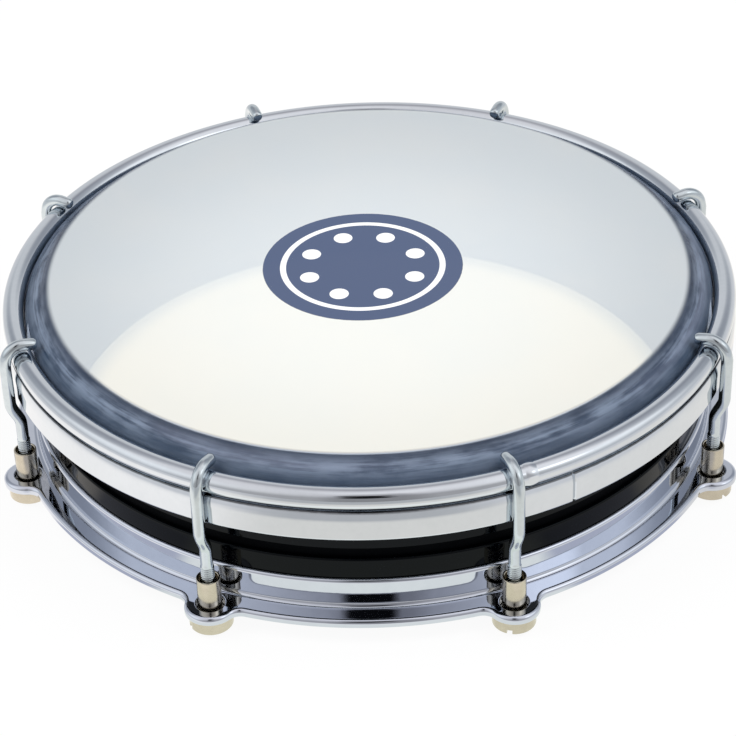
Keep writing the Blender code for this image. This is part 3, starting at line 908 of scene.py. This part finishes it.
def hook_line():
    """Centre line of a hook as (distance from the drum's axis, height, rod radius)."""
    line = []
    steps = int((THREAD_TOP - SHANK_BASE) / THREAD_PITCH * THREAD_STEPS)
    for i in range(steps + 1):
        line.append((NUT_CIRCLE, SHANK_BASE + (THREAD_TOP - SHANK_BASE) * i / steps, THREAD_R))
    rod_base = THREAD_TOP + ROD_START
    for i in range(5):
        line.append((NUT_CIRCLE, rod_base + (JOGGLE_BASE - rod_base) * i / 5, ROD_R))
    for i in range(JOGGLE_STEPS + 1):
        t = i / JOGGLE_STEPS
        across = NUT_CIRCLE + (LEG_R - NUT_CIRCLE) * t * t * (3 - 2 * t)
        line.append((across, JOGGLE_BASE + (JOGGLE_TOP - JOGGLE_BASE) * t, ROD_R))
    bend = arc(BEAD_AT, CLAW_BEND, CLAW_LEAN, pi / 2 + CLAW_DROOP, CLAW_STEPS)
    lean_base = bend[0][1] - (LEG_R - bend[0][0]) * cos(CLAW_LEAN) / sin(CLAW_LEAN)
    for i in range(1, 9):
        line.append((LEG_R, JOGGLE_TOP + (lean_base - JOGGLE_TOP) * i / 8, ROD_R))
    for across, height in bend:
        line.append((across, height, ROD_R))
    end = bend[-1]
    for along, share in CLAW_SHAPE:
        line.append((end[0] - cos(CLAW_DROOP) * CLAW_NOSE * along,
                     end[1] - sin(CLAW_DROOP) * CLAW_NOSE * along, ROD_R * share))
    return line


def make_hook(k):
    """Round rod swept along its line, with a real helical thread on the shank."""
    line = hook_line()
    angle = SET_STEP * (k - 0.5)
    bm = bmesh.new()
    loops = []
    for i, (across, height, radius) in enumerate(line):
        before = line[max(i - 1, 0)]
        after = line[min(i + 1, len(line) - 1)]
        lean = atan2(after[1] - before[1], after[0] - before[0])
        loop = []
        for turn in even_angles(HOOK_SIDES):
            r = radius
            if height <= THREAD_TOP:
                phase = ((height - SHANK_BASE) / THREAD_PITCH - turn / tau) % 1.0
                r = radius - THREAD_DEPTH * abs(2 * phase - 1)
            out, y = polar(r, turn)
            x = across + sin(lean) * out
            loop.append(bm.verts.new((*swung(x, y, angle), height - cos(lean) * out)))
        loops.append(loop)
    for low, high in zip(loops, loops[1:]):
        bridge(bm, low, high)
    bm.faces.new(loops[0])
    bm.faces.new(loops[-1])
    piece("hook_%d_bent" % k, bm, hook_finish, "tension_hook_%d" % k, "hook_%d" % k,
          crease=55)


def nut_blank():
    """Turned tube nut round its own axis, before its slot is sawn."""
    profile = [(THREAD_R + GAP, HEAD_BASE), (THREAD_R + GAP, COUNTERBORE_FLOOR - COUNTERBORE_SLANT)]
    profile += [(COUNTERBORE_R, COUNTERBORE_FLOOR), (COUNTERBORE_R, NUT_TOP - COUNTERBORE_EDGE)]
    profile += [(COUNTERBORE_R + COUNTERBORE_EDGE, NUT_TOP)]
    profile += arc((NUT_R - NUT_EDGE, NUT_TOP - NUT_EDGE), NUT_EDGE, pi / 2, 0.0, 3)
    profile += arc((NUT_R + NUT_EDGE, HEAD_TOP + NUT_EDGE), NUT_EDGE, pi, 1.5 * pi, 3)
    top_edge = (HEAD_R - HEAD_TOP_EDGE, HEAD_TOP - HEAD_TOP_EDGE)
    profile += arc(top_edge, HEAD_TOP_EDGE, pi / 2, 0.0, 5)
    low_edge = (HEAD_R - HEAD_LOW_EDGE, HEAD_BASE + HEAD_LOW_EDGE)
    profile += arc(low_edge, HEAD_LOW_EDGE, 0.0, -pi / 2, 4)
    bm = turned(profile, even_angles(NUT_STEPS))
    bmesh.ops.recalc_face_normals(bm, faces=bm.faces)
    return meshed("blank", bm)


def make_nut(k):
    """Tube nut with a counterbore and a sawn slot in its head."""
    blank = nut_blank()
    bm = bmesh.new()
    size = Matrix.Diagonal((4 * HEAD_R, SLOT_WIDTH, 2 * SLOT_DEPTH, 1.0))
    bmesh.ops.create_cube(bm, size=1.0, matrix=Matrix.Translation((0, 0, HEAD_BASE)) @ size)
    saw = meshed("saw", bm)
    cut = blank.modifiers.new("slot", "BOOLEAN")
    cut.operation = "DIFFERENCE"
    cut.solver = "EXACT"
    cut.object = saw
    depsgraph = bpy.context.evaluated_depsgraph_get()
    mesh = bpy.data.meshes.new_from_object(blank.evaluated_get(depsgraph))
    for item in (blank, saw):
        bpy.data.objects.remove(item, do_unlink=True)
    bm = bmesh.new()
    bm.from_mesh(mesh)
    spin = Matrix.Rotation(FIRST_SLOT + SLOT_STEP * (k - 1), 4, "Z")
    place = Matrix.Translation((*polar(NUT_CIRCLE, SET_STEP * (k - 0.5)), 0.0))
    bm.transform(place @ spin)
    piece("nut_%d_turned" % k, bm, nut_finish, "nut_%d" % k, "tube_nut_%d" % k,
          crease=40)


make_shell()
make_film()
make_rim()
make_lower_ring()
for k in range(1, SETS + 1):
    make_hook(k)
    make_nut(k)
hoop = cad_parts["flesh_hoop"]
hoop.data.materials.clear()
hoop.data.materials.append(hoop_finish)


# Camera


def make_camera():
    """Camera where the photographer's stood."""
    level = Vector((1.0, 0.0, 0.0))
    raised = Vector((0.0, sin(CAMERA_PITCH), cos(CAMERA_PITCH)))
    right = cos(CAMERA_ROLL) * level - sin(CAMERA_ROLL) * raised
    up = sin(CAMERA_ROLL) * level + cos(CAMERA_ROLL) * raised
    ahead = Vector((0.0, cos(CAMERA_PITCH), -sin(CAMERA_PITCH)))
    place = -(CAMERA_ASIDE * right + CAMERA_ABOVE * up + CAMERA_DISTANCE * ahead)
    place.z += AIM_HEIGHT
    axes = Matrix((right, up, -ahead)).transposed().to_4x4()
    data = bpy.data.cameras.new("camera")
    data.lens = CAMERA_LENS
    data.sensor_width = CAMERA_SENSOR
    data.clip_start, data.clip_end = CAMERA_CLIP
    made = linked("camera", data)
    turn = Matrix.Rotation(CAMERA_TURN, 4, "Z")
    made.matrix_world = turn @ Matrix.Translation(place * MM) @ axes
    bpy.context.scene.camera = made


# Studio


def floor_in_polish(tree, parts, turn, away):
    """Floor's colour as polish shows it: a painted pool of light in front, painted light brighter
    to the left and under the drum, and painted shade below the hooks.
    """
    off_axis = calc(tree, "MAXIMUM", away, 0.001)
    ahead = calc(tree, "DIVIDE", calc(tree, "MULTIPLY", parts["Y"], -1.0), off_axis)
    aside = calc(tree, "DIVIDE", parts["X"], off_axis)
    waves = calc(tree, "COSINE", calc(tree, "MULTIPLY", turn, float(SETS)))
    between = ramp(tree, waves, *BETWEEN_HOOKS)
    near_front = ramp(tree, ahead, *FRONT_BY_HOOKS)
    far_front = ramp(tree, ahead, *FRONT_FAR_OUT)
    reach = ramp(tree, away, *HOOK_SHADE_ENDS)
    widening = calc(tree, "SUBTRACT", far_front, near_front)
    front = calc(tree, "MULTIPLY_ADD", reach, widening, near_front)
    edge = blend(tree, ramp(tree, away, *POOL_BRIGHTENS), POOL_EDGE, POOL_BRIGHT)
    middle = blend(tree, ramp(tree, away, *POOL_FADES), edge, POOL_MIDDLE)
    pool = blend(tree, ramp(tree, away, *POOL_ENDS), middle, POOL_FAR)
    # Painted light: the floor's left side brighter than its right
    lit = blend(tree, ramp(tree, aside, *LEFT_TO_RIGHT), SIDE_LIGHT_LEFT, SIDE_LIGHT_RIGHT)
    shade = calc(tree, "MULTIPLY", between, calc(tree, "SUBTRACT", 1.0, reach))
    side = blend(tree, shade, lit, HOOK_SHADE)
    beside = blend(tree, ramp(tree, away, *SIDES_FADE), side, SIDE_LIGHT_FAR)
    outside = blend(tree, front, beside, pool)
    return blend(tree, ramp(tree, away, *UNDER_DRUM_ENDS), LIGHT_UNDER_DRUM, outside)


def make_floor():
    """White table top that keeps the drum's shadow, with a painted shadow of the shell's wall
    inside the drum.

    It glows to the camera, in polish and through the film. From below it is clear, so that the
    drum's underside can be seen.
    """
    bm = bmesh.new()
    bmesh.ops.create_circle(bm, cap_ends=True, segments=96, radius=FLOOR_R)
    made = meshed("floor", bm)
    made.location.z = -FLOOR_SINK
    finish = bpy.data.materials.new("floor_white")
    finish.use_nodes = True
    tree = finish.node_tree
    tree.nodes.remove(tree.nodes["Principled BSDF"])
    path = shader_node(tree, "ShaderNodeLightPath").outputs
    mirrored = calc(tree, "MAXIMUM", path["Is Glossy Ray"], path["Is Transmission Ray"])
    seen = calc(tree, "MAXIMUM", path["Is Camera Ray"], mirrored)
    parts, turn, away = around_axis(tree, object_place(tree))
    # Painted shadow of the shell's wall on the floor inside the drum, seen through the film
    inside = calc(tree, "MULTIPLY", ramp(tree, away, *INSIDE_SHADE_RISES),
                  ramp(tree, away, *INSIDE_SHADE_FALLS))
    white_with_painted_shadow = blend(tree, inside, FLOOR_WHITE, INSIDE_SHADE)
    polish = floor_in_polish(tree, parts, turn, away)
    shown = blend(tree, path["Is Camera Ray"], polish, white_with_painted_shadow)
    matt = shader_node(tree, "ShaderNodeBsdfDiffuse", {"Color": FLOOR_MATT})
    glow = shader_node(tree, "ShaderNodeEmission", {"Color": shown})
    share = calc(tree, "MULTIPLY", seen, FLOOR_GLOW)
    both = blend_shaders(tree, share, matt.outputs[0], glow.outputs[0])
    below = shader_node(tree, "ShaderNodeNewGeometry").outputs["Backfacing"]
    gone = shader_node(tree, "ShaderNodeBsdfTransparent")
    show(tree, blend_shaders(tree, below, both, gone.outputs[0]))
    made.data.materials.append(finish)


def direction(azimuth, elevation):
    """Unit vector from the drum, in degrees. Azimuth 0 is toward the camera, 90 to the right."""
    turn = radians(azimuth) + CAMERA_TURN
    rise = radians(elevation)
    return sin(turn) * cos(rise), -cos(turn) * cos(rise), sin(rise)


def make_world():
    """Soft room: bright at both sides and behind the drum, dimmer overhead and near the camera."""
    world = bpy.data.worlds.new("studio")
    bpy.context.scene.world = world
    world.use_nodes = True
    tree = world.node_tree
    toward = shader_node(tree, "ShaderNodeTexCoord").outputs["Generated"]
    parts = shader_node(tree, "ShaderNodeSeparateXYZ", {0: toward}).outputs
    flat = calc(tree, "MAXIMUM", 0.001, length_of(tree, parts["X"], parts["Y"]))
    along = calc(tree, "MULTIPLY", parts["Y"], -cos(CAMERA_TURN))
    along = calc(tree, "MULTIPLY_ADD", parts["X"], sin(CAMERA_TURN), along)
    facing = calc(tree, "DIVIDE", along, flat)

    def lobe(azimuth, elevation, outer, inner):
        """1 within the inner angle of a direction, 0 beyond the outer one."""
        inputs = {0: toward, 1: direction(azimuth, elevation)}
        dot = shader_node(tree, "ShaderNodeVectorMath", inputs, operation="DOT_PRODUCT")
        return ramp(tree, dot.outputs["Value"], cos(radians(outer)), cos(radians(inner)))

    def lobe_light(light, shape):
        """A lobe's light."""
        return vector_calc(tree, "SCALE", {0: light, 3: lobe(*shape)})

    def either(shapes):
        """The stronger one of two lobes."""
        return calc(tree, "MAXIMUM", *(lobe(*shape) for shape in shapes))

    sides = blend(tree, ramp(tree, facing, *BEHIND_RANGE), ROOM_SIDES, ROOM_BEHIND)
    room = blend(tree, ramp(tree, facing, *NEAR_RANGE), sides, ROOM_NEAR)
    domed = blend(tree, ramp(tree, parts["Z"], *ABOVE_RANGE), room, ROOM_ABOVE)
    windows = {0: lobe_light(LEFT_LIGHT, LEFT_LOBE), 1: lobe_light(RIGHT_LIGHT, RIGHT_LOBE)}
    lit = vector_calc(tree, "ADD", {0: domed, 1: vector_calc(tree, "ADD", windows)})
    width = ramp(tree, facing, *(cos(radians(limit)) for limit in STANDING_WIDTH))
    height = ramp(tree, parts["Z"], *(sin(radians(limit)) for limit in STANDING_TOP))
    standing = calc(tree, "MULTIPLY", width, height)
    shaded = blend(tree, calc(tree, "MULTIPLY", standing, STANDING_SHARE), lit, STANDING)
    with_camera = blend(tree, either(CAMERA_LOBES), shaded, CAMERA_BLACK)
    shine = vector_calc(tree, "ADD", {0: with_camera, 1: lobe_light(GLOW_LIGHT, GLOW_LOBE)})
    corners = calc(tree, "MULTIPLY", either(CORNER_LOBES), CORNER_SHARE)
    dimmed = blend(tree, corners, shine, CORNER_DARK)
    path = shader_node(tree, "ShaderNodeLightPath").outputs
    final = blend(tree, path["Is Camera Ray"], dimmed, BACKDROP)
    background = tree.nodes["Background"]
    tree.links.new(final, background.inputs["Color"])
    background.inputs["Strength"].default_value = 1.0


def make_lamp(name, azimuth, elevation, power, colour):
    """Softbox that faces the drum. Metal shows the room's soft light in its place."""
    data = bpy.data.lights.new(name, "AREA")
    data.shape = "RECTANGLE"
    data.size = LAMP_SIZE
    data.size_y = LAMP_SIZE
    data.energy = power
    data.color = colour
    made = linked(name, data)
    toward = Vector(direction(azimuth, elevation))
    made.location = toward * LAMP_DISTANCE
    made.rotation_euler = toward.to_track_quat("Z", "Y").to_euler()
    made.visible_glossy = False


make_camera()
make_floor()
make_world()
make_lamp("softbox_left", -80, 52, 9.4, (1.0, 0.99, 0.97))
make_lamp("softbox_right", 80, 56, 8.6, (0.97, 0.98, 1.0))
bpy.context.scene.view_settings.view_transform = "Standard"
